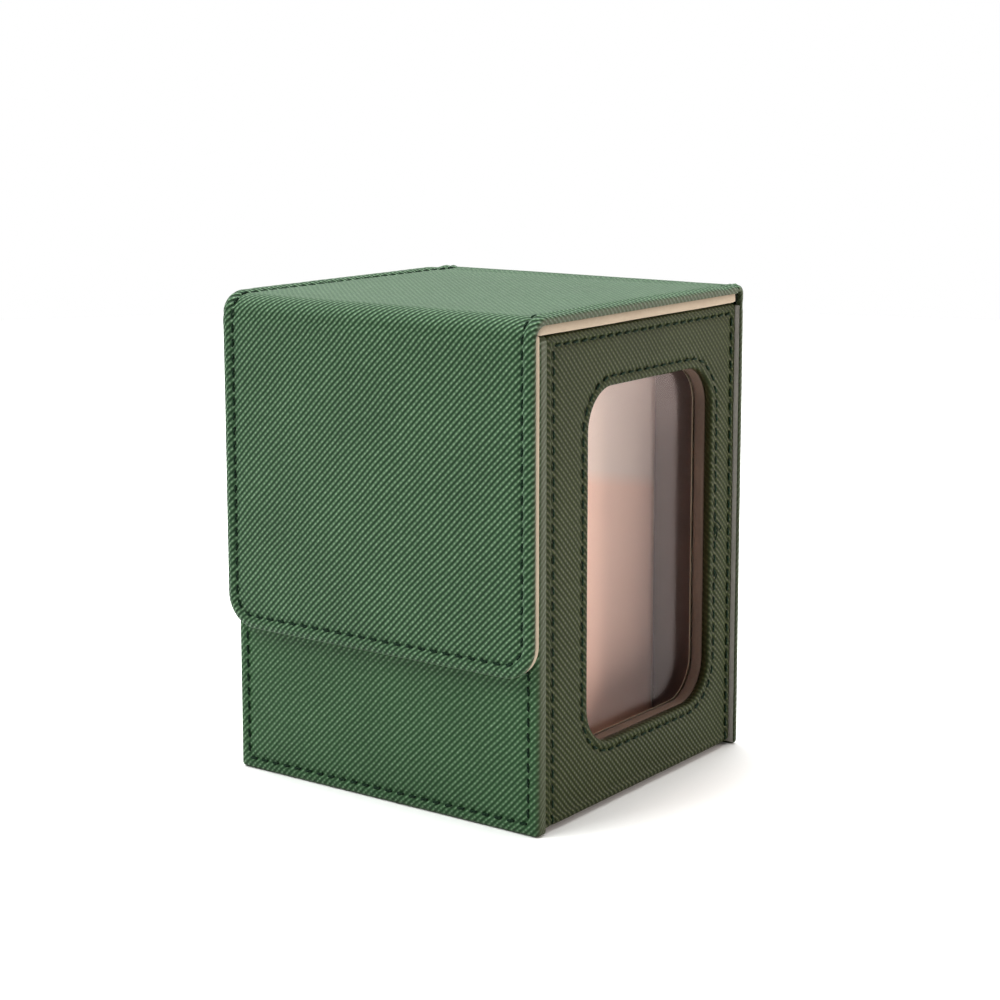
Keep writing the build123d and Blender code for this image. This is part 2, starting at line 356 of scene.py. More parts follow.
def thicken(piece, gauge):
    """Gives a sheet its thickness, inwards from the face that shows."""
    solid = piece.modifiers.new("gauge", "SOLIDIFY")
    solid.thickness = gauge * MM
    solid.offset = -1


def uneven(u, v, seed, height):
    """Slow hand-made waviness of a covered board."""
    slow = noise.noise(Vector((u * 0.04, v * 0.04, seed)))
    quick = noise.noise(Vector((u * 0.16, v * 0.16, seed + 5.0)))
    return height * (slow + 0.35 * quick)


def laid_points(rows, place, seams, seed, wave, extra=None):
    """Places, flat layout and turned-in share of a covering's points, with its relief."""
    points = []
    flats = []
    rims = []
    for row in rows:
        for u, v, h, flat_u, flat_v in row:
            rise = h
            if h > -turned_in:
                rise += sum(seam.groove(u, v) for seam in seams) + uneven(u, v, seed, wave)
                if extra:
                    rise += extra(u, v)
                rise = max(rise, h - deepest)
            points.append(place(u, v, rise))
            flats.append((flat_u, flat_v))
            rims.append(min(1.0, max(0.0, -h / 0.8)))
    return points, flats, rims


def lay_sheet(name, grid, place, seams=(), seed=0.0, gauge=leather_gauge, wave=hand_wave, extra=None):
    """A covering made from a flat grid, pulled down along its seams."""
    flip = not outward(place)
    points, flats, rims = laid_points(grid, place, seams, seed, wave, extra)
    across = len(grid[0])
    faces = []
    for j in range(len(grid) - 1):
        for i in range(across - 1):
            corner = j * across + i
            face = (corner, corner + 1, corner + across + 1, corner + across)
            faces.append(face[::-1] if flip else face)
    piece = make_object(name, points, faces, flats, rims)
    thicken(piece, gauge)
    return piece


def lay_rings(name, rings, place, seams=(), seed=0.0, gauge=leather_gauge, closed=False):
    """A covering made from loops of (u, v, h, flat u, flat v) about an opening, outside to inside."""
    flip = not outward(place)
    points, flats, rims = laid_points(rings, place, seams, seed, hand_wave)
    around = len(rings[0])
    pairs = list(zip(range(len(rings) - 1), range(1, len(rings))))
    if closed:
        pairs.append((len(rings) - 1, 0))
    faces = []
    for outer, inner in pairs:
        for index in range(around):
            after = (index + 1) % around
            face = (
                outer * around + index,
                outer * around + after,
                inner * around + after,
                inner * around + index,
            )
            faces.append(face[::-1] if flip else face)
    piece = make_object(name, points, faces, flats, rims)
    if gauge:
        thicken(piece, gauge)
    return piece


def tube_faces(base, sections, sides):
    """Faces between the rings of a tube whose points follow each other from a base index."""
    faces = []
    for row in range(base, base + (sections - 1) * sides, sides):
        for side in range(sides):
            after = (side + 1) % sides
            faces.append((row + side, row + after, row + sides + after, row + sides + side))
    return faces


def lay_stitches(name, seams, place, keep=None, sink=-0.2):
    """Twisted thread bars lying in the seams' grooves, each diving into its needle holes."""
    points = []
    faces = []
    flats = []
    sections = 9
    sides = 8
    for seam in seams:
        for number in range(seam.count):
            middle = (number + 0.5) * seam.pitch
            centre, _ = seam.at(middle)
            lean = random.uniform(0.03, 0.12)
            plump = random.uniform(0.92, 1.08)
            if keep and not keep(centre.x, centre.y):
                continue
            base = len(points)
            for section in range(sections):
                t = 2 * section / (sections - 1) - 1
                spot, along = seam.at(middle + t * stitch_reach / 2)
                aside = Vector((-along.y, along.x))
                spot = spot + aside * lean * t
                girth = thread_radius * plump * math.sqrt(1 - 0.86 * t**6)
                lift = sink + 0.17 * (1 - t**4)
                for side in range(sides):
                    angle = 2 * math.pi * side / sides
                    flat = spot + aside * girth * math.cos(angle)
                    points.append(place(flat.x, flat.y, lift + 0.75 * girth * math.sin(angle)))
                    flats.append((t * stitch_reach / 2, angle * thread_radius))
            faces.extend(tube_faces(base, sections, sides))
            faces.append(tuple(base + side for side in range(sides))[::-1])
            tail = base + (sections - 1) * sides
            faces.append(tuple(tail + side for side in range(sides)))
    return make_object(name, points, faces, flats)


# -------------------------------- materials
def put(tree, kind, inputs=None, **settings):
    """Adds a node, then sets or links its inputs by name or number."""
    node = tree.nodes.new(kind)
    for key, value in settings.items():
        setattr(node, key, value)
    for key, value in (inputs or {}).items():
        if isinstance(value, bpy.types.NodeSocket):
            tree.links.new(value, node.inputs[key])
        else:
            node.inputs[key].default_value = value
    return node


def calc(tree, operation, *values):
    """Result of a Math node."""
    return put(tree, "ShaderNodeMath", dict(enumerate(values)), operation=operation).outputs[0]


def blend_colour(tree, share, first, second, mode="MIX"):
    """Result of mixing two colours."""
    node = put(tree, "ShaderNodeMix", data_type="RGBA", blend_type=mode)
    for socket, value in ((0, share), (6, first), (7, second)):
        if isinstance(value, bpy.types.NodeSocket):
            tree.links.new(value, node.inputs[socket])
        else:
            node.inputs[socket].default_value = value
    return node.outputs[2]


def speckle(tree, where, scale, detail=2.0, roughness=0.5):
    """Noise value from 0 to 1 at a scale in features per unit of the coordinate."""
    settings = {"Vector": where, "Scale": scale, "Detail": detail, "Roughness": roughness}
    return put(tree, "ShaderNodeTexNoise", settings).outputs["Fac"]


def start_material(name):
    """New node material with only an output."""
    material = bpy.data.materials.new(name)
    material.use_nodes = True
    tree = material.node_tree
    tree.nodes.clear()
    return material, tree


def flat_layout(tree):
    """Flat layout in millimetres."""
    return put(tree, "ShaderNodeUVMap", uv_map="flat").outputs["UV"]


def object_layout(tree):
    """Object coordinates in millimetres."""
    place = put(tree, "ShaderNodeTexCoord").outputs["Object"]
    return put(tree, "ShaderNodeVectorMath", {0: place, 3: 1000.0}, operation="SCALE").outputs[0]


def surface(tree, colour, roughness, height=None, depth=0.1, **fixed):
    """Principled surface with its bump, joined to the output; depth is in millimetres."""
    shader = put(tree, "ShaderNodeBsdfPrincipled", {"Base Color": colour, "Roughness": roughness})
    for key, value in fixed.items():
        shader.inputs[key.replace("_", " ")].default_value = value
    if height is not None:
        bump = put(tree, "ShaderNodeBump", {"Height": height, "Distance": depth * MM, "Strength": 1.0})
        tree.links.new(bump.outputs[0], shader.inputs["Normal"])
    put(tree, "ShaderNodeOutputMaterial", {"Surface": shader.outputs[0]})


def embossed_leather(name, lean, painted_warm_light=0.0, contrast=1.0, shine=0.15, sheen=0.0,
                     tone=(1, 1, 1)):
    """Twill-like embossed covering: diagonal ridges of small beads, glossier on top; its colour holds a
    painted highlight on the bead tops, painted shade in the grooves and on the turned-in edges, and for
    the side walls a warmer, darker tone (painted warm light and painted shade); contrast scales the
    painted highlight and groove shade.
    """
    material, tree = start_material(name)
    flat = flat_layout(tree)
    drift = put(tree, "ShaderNodeTexNoise", {"Vector": flat, "Scale": 0.09, "Detail": 1.0})
    drift = put(tree, "ShaderNodeVectorMath", {0: drift.outputs["Color"], 1: (0.5, 0.5, 0.5)},
                operation="SUBTRACT").outputs[0]
    drift = put(tree, "ShaderNodeVectorMath", {0: drift, 3: 0.6}, operation="SCALE").outputs[0]
    moved = put(tree, "ShaderNodeVectorMath", {0: flat, 1: drift}, operation="ADD").outputs[0]
    parts = put(tree, "ShaderNodeSeparateXYZ", {0: moved}).outputs
    turn = 2 * math.pi / ridge_pitch / math.sqrt(2)
    leaning = calc(tree, "MULTIPLY", parts[0], lean)
    across = calc(tree, "MULTIPLY", calc(tree, "SUBTRACT", leaning, parts[1]), turn)
    along = calc(tree, "MULTIPLY", calc(tree, "ADD", leaning, parts[1]), turn)
    ridge = calc(tree, "MULTIPLY_ADD", calc(tree, "COSINE", across), 0.5, 0.5)
    bead = calc(tree, "MULTIPLY_ADD", calc(tree, "COSINE", along), 0.5, 0.5)
    each = speckle(tree, moved, 0.9, 1.0)
    shape = calc(tree, "MULTIPLY_ADD", bead, 0.36, calc(tree, "MULTIPLY_ADD", each, 0.5, 0.32))
    weave = calc(tree, "MULTIPLY", calc(tree, "POWER", ridge, 1.25), shape)
    grain = speckle(tree, flat, 3.0, 3.0, 0.6)
    patches = speckle(tree, flat, 0.06, 3.0)
    rim = put(tree, "ShaderNodeAttribute", attribute_name="rim").outputs["Fac"]
    # low is the colour down in the grooves between the ridges: painted shade; body is the ridges' own
    # green; the warm shift added to both is painted warm light
    low = (0.003 + painted_warm_light * 0.4, 0.020 - painted_warm_light * 0.2, 0.005 - painted_warm_light * 0.2, 1)
    body = (0.050 + painted_warm_light, 0.132 - painted_warm_light, 0.050 - painted_warm_light, 1)
    mean = tuple(0.52 * a + 0.48 * b + 0.005 * (1 - contrast) for a, b in zip(low, body))
    low = tuple(m + (a - m) * contrast for m, a in zip(mean, low))
    body = tuple(m + (b - m) * contrast for m, b in zip(mean, body))
    colour = blend_colour(tree, calc(tree, "POWER", weave, 0.8), low, body)
    # pale bead tops added to the colour: painted highlight
    painted_highlight = [value * contrast for value in (0.14, 0.17 - painted_warm_light, 0.13 - painted_warm_light, 1)]
    colour = blend_colour(tree, calc(tree, "POWER", weave, 3.0), colour, painted_highlight, "ADD")
    patch_colour = blend_colour(tree, patches, (0.78, 0.80, 0.78, 1), (1.22, 1.18, 1.22, 1))
    colour = blend_colour(tree, 1.0, colour, patch_colour, "MULTIPLY")
    # darker olive-brown where the covering turns in round its edges: painted shade
    edge = blend_colour(tree, grain, (0.018, 0.024, 0.009, 1), (0.050, 0.056, 0.026, 1))
    colour = blend_colour(tree, calc(tree, "MULTIPLY", rim, 0.85), colour, edge)
    # tone darkens a whole copy of the leather: painted shade
    colour = blend_colour(tree, 1.0, colour, (*tone, 1), "MULTIPLY")
    height = calc(tree, "MULTIPLY_ADD", calc(tree, "MULTIPLY", weave, rim), -0.7, weave)
    height = calc(tree, "MULTIPLY_ADD", grain, 0.12, height)
    gloss = calc(tree, "MULTIPLY_ADD", weave, -0.25, 0.60)
    surface(tree, colour, gloss, height, 0.30 * contrast, Specular_IOR_Level=shine,
            Sheen_Weight=sheen, Sheen_Roughness=0.45, Sheen_Tint=(0.80, 1.0, 0.90, 1))
    return material


def suede(name, light, dark, painted_reflection=False):
    """Soft nap with darker strokes; one with a painted reflection turns greyer and bluer above a
    slanting line.
    """
    material, tree = start_material(name)
    where = flat_layout(tree)
    stretched = put(tree, "ShaderNodeMapping", {"Vector": where, "Scale": (1.0, 0.35, 1.0)}).outputs[0]
    nap = speckle(tree, stretched, 3.5, 5.0, 0.7)
    strokes = speckle(tree, where, 0.12, 3.0, 0.6)
    tone = calc(tree, "MULTIPLY_ADD", nap, 0.7, calc(tree, "MULTIPLY", strokes, 0.5))
    colour = blend_colour(tree, tone, dark, light)
    if painted_reflection:
        # greyer and bluer above a slanting line: painted reflection of the bright surround
        parts = put(tree, "ShaderNodeSeparateXYZ", {0: where}).outputs
        level = calc(tree, "MULTIPLY_ADD", parts[0], painted_reflection_slope, parts[1])
        above = put(tree, "ShaderNodeMapRange", {0: level, 1: painted_reflection_low, 2: painted_reflection_high}).outputs[0]
        painted_reflection_tint = blend_colour(tree, 1.0, colour, (0.91, 1.12, 1.22, 1), "MULTIPLY")
        colour = blend_colour(tree, above, colour, painted_reflection_tint)
    surface(tree, colour, 0.95, nap, 0.04, Specular_IOR_Level=0.1)
    return material


def sewing_thread():
    """Twisted polyester thread, its strands shown as slanting ribs, near black towards each end: painted
    shade of the needle holes.
    """
    material, tree = start_material("thread")
    parts = put(tree, "ShaderNodeSeparateXYZ", {0: flat_layout(tree)}).outputs
    slant = calc(tree, "MULTIPLY_ADD", parts[0], 9.0, calc(tree, "MULTIPLY", parts[1], 7.4))
    ribs = calc(tree, "MULTIPLY_ADD", calc(tree, "SINE", slant), 0.5, 0.5)
    colour = blend_colour(tree, ribs, (0.002, 0.009, 0.004, 1), (0.008, 0.028, 0.013, 1))
    # near black towards each end of a bar: painted shade where it dives into its needle holes
    ends = put(tree, "ShaderNodeMapRange", {0: calc(tree, "ABSOLUTE", parts[0]), 1: 0.55, 2: 0.95})
    colour = blend_colour(tree, ends.outputs[0], colour, (0.001, 0.003, 0.002, 1))
    surface(tree, colour, 0.9, ribs, 0.05, Specular_IOR_Level=0.15)
    return material


def grey_board():
    """Recycled grey board with flecks of fibre."""
    material, tree = start_material("grey_board")
    where = object_layout(tree)
    flecks = speckle(tree, where, 1.6, 4.0, 0.7)
    colour = blend_colour(tree, flecks, (0.26, 0.24, 0.21, 1), (0.46, 0.43, 0.39, 1))
    surface(tree, colour, 0.9, flecks, 0.05)
    return material


def nickel():
    """Nickel-plated magnet and keeper discs with a fine turned finish."""
    material, tree = start_material("nickel")
    scratches = speckle(tree, object_layout(tree), 6.0, 2.0, 0.6)
    colour = blend_colour(tree, scratches, (0.50, 0.49, 0.47, 1), (0.64, 0.63, 0.61, 1))
    rough = calc(tree, "MULTIPLY_ADD", scratches, 0.15, 0.22)
    surface(tree, colour, rough, scratches, 0.01, Metallic=1.0)
    return material


def clear_film():
    """Clear glossy film: see-through, with a mirror share that grows at glancing angles; its mirror is
    tinted pink, a painted reflection colour.
    """
    material, tree = start_material("clear_film")
    smear = calc(tree, "MULTIPLY_ADD", speckle(tree, flat_layout(tree), 0.05, 2.0), 0.06, 0.12)
    facing = put(tree, "ShaderNodeLayerWeight", {"Blend": 0.5}).outputs["Facing"]
    share = calc(tree, "MULTIPLY_ADD", calc(tree, "POWER", facing, 5.0), 0.5, 0.010)
    clear = put(tree, "ShaderNodeBsdfTransparent", {"Color": (0.96, 0.97, 0.97, 1)}).outputs[0]
    # pink tint on the mirror share: painted reflection
    shine = put(tree, "ShaderNodeBsdfGlossy",
                {"Color": (1.0, 0.86, 0.85, 1), "Roughness": smear}).outputs[0]
    mixed = put(tree, "ShaderNodeMixShader", {0: share, 1: clear, 2: shine}).outputs[0]
    put(tree, "ShaderNodeOutputMaterial", {"Surface": mixed})
    return material


cover_leather = embossed_leather("cover_leather", -1.0, shine=0.15, sheen=0.10)
# lower contrast: a weaker painted highlight and groove shade
front_leather = embossed_leather("front_leather", 1.0, contrast=0.75)
# warmer and darker copy of the leather for the side walls and base: painted warm light and painted shade
side_leather_painted_warm_shade = embossed_leather("side_leather_painted_warm_shade", -1.0, painted_warm_light=0.012, contrast=0.55,
                              tone=(0.52, 0.41, 0.31), shine=0.08)
nap_flat = suede("lining_suede", (0.44, 0.37, 0.28, 1), (0.27, 0.22, 0.165, 1))
# brighter and pinker than the lining suede: painted warm light; it also carries the painted reflection
partition_nap_painted_light = suede("partition_suede", (0.88, 0.56, 0.455, 1), (0.76, 0.475, 0.38, 1), painted_reflection=True)
# dark suede on the rear lining inside the slot: painted shade
rear_nap_painted_shade = suede("rear_suede_painted_shade", (0.13, 0.098, 0.092, 1), (0.06, 0.044, 0.042, 1))
# dark brown suede on the window's jamb, the beige lining darkened: painted shade
jamb_nap_painted_shade = suede("jamb_suede_painted_shade", (0.145, 0.102, 0.080, 1), (0.072, 0.050, 0.039, 1))
thread = sewing_thread()
board = grey_board()
metal = nickel()
film = clear_film()


def finish_piece(piece, material, replaced=(), body=None, bend=None):
    """Material and replaced CAD nodes of one piece; it goes under its body's empty, or, on a bend, has
    its transform baked into its mesh.
    """
    piece.data.materials.clear()
    piece.data.materials.append(material)
    if replaced:
        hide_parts(*replaced)
    if bend:
        first, second, start, end = bend
        Vector(start) * MM
        Vector(end) * MM
        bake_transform(piece)
    else:
        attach(piece, body)


def sew(panel, seams, place, replaced=(), body=None, bend=None, **settings):
    """All the stitches of one panel."""
    threads = lay_stitches(panel + "_threads", seams, place, **settings)
    finish_piece(threads, thread, replaced, body, bend)


# -------------------------------- cover: lid, roll and flap
def smooth(share):
    """Smooth step from 0 to 1."""
    share = min(max(share, 0.0), 1.0)
    return share * share * (3 - 2 * share)


def cover_turn(s):
    """How far the covering is turned in at its side edges: over the lid board, less on the flap."""
    return lid_depth + (flap_turn - lid_depth) * smooth((s - lid_run) / roll_run)


def skin_place(u, s, h):
    """Place on the cover with the turned-in part of the covering fitted to the board's edge."""
    if h < -cover_bend:
        h = -cover_bend + (h + cover_bend) * (cover_turn(s) - cover_bend) / (lid_depth - cover_bend)
    return cover_place(u, s, h)


def cover_place(u, s, h):
    """Lid from its rear crease forward, round the roll and down the flap."""
    if s <= lid_run:
        return Vector((u, lid_high.y - s, lid_high.z + h)) * MM
    if s <= lid_run + roll_run:
        angle = (s - lid_run) / roll_radius
        reach = roll_radius + h
        y = roll_high.y - reach * math.sin(angle)
        z = roll_low.z + reach * math.cos(angle)
        return Vector((u, y, z)) * MM
    return Vector((u, flap_low.y - h, flap_high.z - (s - lid_run - roll_run))) * MM


roll_bend = (
    "lid",
    "flap",
    (0, lid_low.y, lid_high.z),
    (0, flap_low.y, flap_high.z),
)
cover_run = lid_run + roll_run + flap_run
cover_half = cover_width / 2 - cover_seam
cover_line = Seam(
    [(-cover_half, 0), (-cover_half, cover_run - cover_seam),
     (cover_half, cover_run - cover_seam), (cover_half, 0)],
    flap_corner - cover_seam,
)


def cover_relief(u, s):
    """Crease and dip at the rear, shoulder before the roll, fold and brow below it, crowned flap."""
    crease = -0.32 * math.exp(-((s / 0.7) ** 2))
    dip = -0.30 * math.exp(-(((s - 4.5) / 2.2) ** 2))
    shoulder = -0.07 * math.exp(-(((s - lid_run + 1.5) / 2.0) ** 2))
    crown = 0.09 * (1 - (u / cover_half) ** 2) if s > lid_run + roll_run else 0.0
    fold = -0.20 * math.exp(-(((s - lid_run - roll_run + 0.3) / 0.55) ** 2))
    brow = 0.12 * math.exp(-(((s - lid_run - roll_run - 1.2) / 0.9) ** 2))
    return crease + dip + shoulder + crown + fold + brow


cover_front = lay_sheet(
    "cover_front",
    sheet_grid(cover_width, cover_run, wrapped_border(lid_depth, cover_seam, cover_bend, lip=0.5),
               flap_corner, open_start=True),
    skin_place,
    [cover_line],
    seed=1.0,
    extra=cover_relief,
)
finish_piece(cover_front, cover_leather, ("lid_skin", "fold_skin", "flap_skin"),
             bend=roll_bend)


def on_lid(u, s):
    """True on the flat top, where the lid's own stitches lie."""
    return s < lid_run


def on_roll(u, s):
    """True round the roll."""
    return lid_run <= s < lid_run + roll_run


def on_flap(u, s):
    """True down the flap."""
    return s >= lid_run + roll_run


sew("lid", [cover_line], cover_place, ("lid_stitching",), "lid", keep=on_lid, sink=-0.32)
sew("roll", [cover_line], cover_place, bend=roll_bend, keep=on_roll)
sew("flap", [cover_line], cover_place, ("flap_stitching",), "flap", keep=on_flap)

# -------------------------------- cover lining
lining_side = lid_lining_low.x - lid_low.x
lining_width = cover_width - 2 * lining_side
lining_start = lid_high.y - lid_lining_high.y
lining_run = cover_run - lining_side - lining_start
lining_gauge = 1.8
lid_inside = lid_high.z - lid_lining_low.z
flap_inside = flap_lining_high.y - flap_low.y


def lining_depth(s):
    """Depth of the lining's face under the cover: flat under the lid, square inside the roll."""
    if s <= lid_run:
        return lid_inside
    if s >= lid_run + roll_run:
        return flap_inside
    angle = (s - lid_run) / roll_radius
    under_lid = (roll_radius - lid_inside) / max(math.cos(angle), 0.01)
    behind_flap = (roll_radius - flap_inside) / max(math.sin(angle), 0.01)
    return roll_radius - min(under_lid, behind_flap)


mitre = lid_run + roll_radius * math.atan2(roll_radius - flap_inside, roll_radius - lid_inside)


def lining_part(name, node, body, start, end, corner, start_corner, seed):
    """Lining of one board, filled up to the covering; the two boards meet in a mitre at the roll."""

    def place(u, v, h):
        s = v + start
        depth = lining_depth(s)
        return cover_place(u, s, -depth - h * (depth - cover_turn(s) + 0.1) / lining_gauge)

    piece = lay_sheet(
        name,
        sheet_grid(lining_width, end - start, lining_border(lining_gauge), corner, spacing=0.6,
                   start_corner=start_corner),
        place,
        seed=seed,
        gauge=0.35,
        wave=0.10,
    )
    finish_piece(piece, nap_flat, (node,), body)


lining_part("lid_lining_suede", "lid_lining", "lid", lining_start, mitre, 0.6, 1.0, 2.0)
lining_part("flap_lining_suede", "flap_lining", "flap", mitre, lining_start + lining_run,
            flap_corner - lining_side, 0.6, 2.5)


def fold_place(u, v, h):
    """Thin strip just under the covering, round the inside of the roll."""
    return cover_place(u, lid_run + v, h - fold_strip_depth)


fold_strip = lay_sheet(
    "fold_lining_suede",
    sheet_grid(cover_width - 6.0, roll_run, [(0.0, 0.0), (1.0, 0.0)], 0.0, spacing=0.5),
    fold_place,
    seed=2.8,
    gauge=0.2,
    wave=0.0,
)
finish_piece(fold_strip, nap_flat, ("fold_lining",), bend=roll_bend)

# -------------------------------- cover: hinge and back panel
hinge_reach = back_high.y - lid_high.y
hinge_top = hinge_reach - hinge_bend
hinge_arc = hinge_bend * math.pi / 2
back_face = back_high.y
cover_top = lid_high.z


def back_place(u, s, h):
    """From the lid's rear crease back over the hinge and down the back panel."""
    if s <= hinge_top:
        return Vector((-u, lid_high.y + s, cover_top + h)) * MM
    if s <= hinge_top + hinge_arc:
        angle = (s - hinge_top) / hinge_bend
        reach = hinge_bend + h
        y = back_face - hinge_bend + reach * math.sin(angle)
        z = cover_top - hinge_bend + reach * math.cos(angle)
        return Vector((-u, y, z)) * MM
    return Vector((-u, back_face + h, cover_top - hinge_bend - (s - hinge_top - hinge_arc))) * MM


back_run = hinge_top + hinge_arc + cover_top - hinge_bend
back_line = Seam(
    [(-cover_half, 3.0), (-cover_half, back_run - cover_seam),
     (cover_half, back_run - cover_seam), (cover_half, 3.0)],
    0.6,
)


def back_relief(u, s):
    """Creases at both sides of the soft hinge."""
    front = -0.32 * math.exp(-((s / 0.7) ** 2))
    lower = -0.22 * math.exp(-(((s - hinge_top - hinge_arc - 2.6) / 1.0) ** 2))
    return front + lower


hinge_start = (0, back_face, back_high.z - 0.8)
hinge_end = (0, lid_high.y, lid_high.z)
cover_back = lay_sheet(
    "cover_back",
    sheet_grid(cover_width, back_run, wrapped_border(back_depth, cover_seam, 0.75), 1.0,
               open_start=True),
    back_place,
    [back_line],
    seed=3.0,
    extra=back_relief,
)
finish_piece(cover_back, cover_leather, ("back_skin", "hinge_skin"),
             bend=("box", "lid", hinge_start, hinge_end))


def below_hinge(u, s):
    """True on the stiff part of the back panel."""
    return s > hinge_top + hinge_arc + 2.0


sew("back", [back_line], back_place, ("back_stitching",), "box", keep=below_hinge)

# -------------------------------- front panel
front_width = front_high.x - front_low.x
wall_top = front_high.z


def front_place(u, v, h):
    """Front panel seen from outside, v up from the ground."""
    return Vector((u, front_low.y - h, v)) * MM


front_half = front_width / 2 - front_seam
front_line = Seam(
    [(-front_half, front_seam), (front_half, front_seam),
     (front_half, wall_top - front_seam), (-front_half, wall_top - front_seam)],
    0.6,
    closed=True,
)
front_cover = lay_sheet(
    "front_cover",
    sheet_grid(front_width, wall_top, wrapped_border(wall, front_seam, 1.0), 1.0),
    front_place,
    [front_line],
    seed=4.0,
)
finish_piece(front_cover, front_leather, ("front_skin",), "box")
sew("front", [front_line], front_place, ("front_stitching",), "box")

# -------------------------------- left wall
side_run = left_high.y - left_low.y
side_middle = (left_high.y + left_low.y) / 2
side_rise = left_high.z - left_low.z


def left_place(u, v, h):
    """Left wall seen from outside; u runs from the back to the front."""
    return Vector((left_low.x - h, side_middle - u, left_low.z + v)) * MM


def right_place(u, v, h):
    """Window wall seen from outside; u runs from the front to the back."""
    return Vector((window_high.x + h, side_middle + u, window_low.z + v)) * MM


side_corners = [
    (-side_run / 2 + side_front_seam, 0.0),
    (-side_run / 2 + side_front_seam, side_rise - side_top_seam),
    (side_run / 2 - side_back_seam, side_rise - side_top_seam),
    (side_run / 2 - side_back_seam, 0.0),
]
left_line = Seam([(-u, v) for u, v in side_corners], 0.6)
left_cover = lay_sheet(
    "left_cover",
    sheet_grid(side_run, side_rise, wrapped_border(wall, side_top_seam, 0.8), 1.0),
    left_place,
    [left_line],
    seed=5.0,
)
finish_piece(left_cover, side_leather_painted_warm_shade, ("left_skin",), "box")
sew("left", [left_line], left_place, ("left_stitching",), "box")

# -------------------------------- window wall
hole_width = film_high.y - film_low.y - 2 * film_overlap
hole_height = film_high.z - film_low.z - 2 * film_overlap
hole_u = (film_high.y + film_low.y) / 2 - side_middle
hole_v = (film_high.z + film_low.z) / 2 - window_low.z
window_depth = window_high.x - window_low.x
ring_counts = (90, 120)


def wall_ring(inset, height, flat=None):
    """Loop round the wall's outline."""
    loop = side_points(side_run, side_rise, 1.0, inset, ring_counts)
    flats = loop if flat is None else side_points(side_run, side_rise, 1.0, flat, ring_counts)
    return [
        (u, v + side_rise / 2, height, fu, fv + side_rise / 2)
        for (u, v), (fu, fv) in zip(loop, flats)
    ]


def hole_ring(offset, height, flat=None):
    """Loop round the window opening, offset outwards from it."""
    loop = side_points(hole_width, hole_height, window_corner, -offset, ring_counts)
    flat = offset if flat is None else flat
    flats = side_points(hole_width, hole_height, window_corner, -flat, ring_counts)
    return [
        (u + hole_u, v + hole_v, height, fu + hole_u, fv + hole_v)
        for (u, v), (fu, fv) in zip(loop, flats)
    ]


def between(outer, inner, share):
    """Loop part of the way from one loop to another."""
    return [
        tuple(a + (b - a) * share for a, b in zip(first, second))
        for first, second in zip(outer, inner)
    ]


wall_border = wrapped_border(wall, side_top_seam, 0.8, reach=4.4)
wall_flats = unrolled(wall_border)
hole_border = [(0.0, -window_depth), (0.0, -1.1), *quarter_round(window_bend, 5)]
for offset in (0.95, 1.2, 1.45, 1.65, 1.85, 2.05, 2.25, 2.45, 2.7, 3.0, 3.4, 3.8):
    lip = 0.05 * math.sin(math.pi * offset / window_seam) if offset < window_seam else 0.0
    hole_border.append((offset, lip))
hole_flats = unrolled(hole_border)
window_rings = [
    wall_ring(inset, height, flat)
    for (inset, height), flat in zip(wall_border, wall_flats)
]
hole_rings = [
    hole_ring(offset, height, flat)
    for (offset, height), flat in zip(hole_border, hole_flats)
]
field_steps = 9
for step in range(1, field_steps):
    window_rings.append(between(window_rings[len(wall_border) - 1], hole_rings[-1], step / field_steps))
window_rings.extend(reversed(hole_rings))
window_line = Seam(side_corners, 0.6)
half_u = hole_width / 2 + window_seam
half_v = hole_height / 2 + window_seam
hole_line = Seam(
    [(hole_u - half_u, hole_v - half_v), (hole_u + half_u, hole_v - half_v),
     (hole_u + half_u, hole_v + half_v), (hole_u - half_u, hole_v + half_v)],
    window_corner + window_seam,
    closed=True,
)
window_cover = lay_rings("window_cover", window_rings, right_place, [window_line, hole_line], seed=6.0)
finish_piece(window_cover, side_leather_painted_warm_shade, ("window_skin",), "box")
sew("window", [window_line, hole_line], right_place, ("window_stitching",), "box")

# points of three cut thread ends: along the wall, up, and off its face
LOOSE_ENDS = (
    ((0.0, 2.0, -0.1), (0.9, 1.4, 0.3), (1.6, 0.6, 0.5), (1.4, -0.1, 0.3)),
    ((0.0, 1.0, -0.1), (0.4, 0.0, 0.3), (0.2, -1.4, 0.2), (0.0, -2.2, 0.0)),
    ((0.1, -8.6, -0.1), (0.4, -9.6, 0.3), (0.1, -10.6, 0.1)),
)


def lay_loose_ends(name, lines, origin, place):
    """Cut thread tails standing a little off the covering beside a seam."""
    points = []
    faces = []
    flats = []
    sides = 6
    for line in lines:
        spots = [Vector(spot) for spot in line]
        base = len(points)
        for index, spot in enumerate(spots):
            ahead = spots[min(index + 1, len(spots) - 1)] - spots[max(index - 1, 0)]
            aside = Vector((-ahead.y, ahead.x, 0)).normalized()
            for side in range(sides):
                angle = 2 * math.pi * side / sides
                edge = spot + aside * tail_radius * math.cos(angle)
                rise = edge.z + tail_radius * math.sin(angle)
                points.append(place(origin[0] + edge.x, origin[1] + edge.y, rise))
                flats.append((0.3, angle * tail_radius))
        faces.extend(tube_faces(base, len(spots), sides))
    return make_object(name, points, faces, flats)


loose_ends = lay_loose_ends("loose_ends", LOOSE_ENDS, (hole_u + half_u, hole_v), right_place)
finish_piece(loose_ends, thread, body="box")

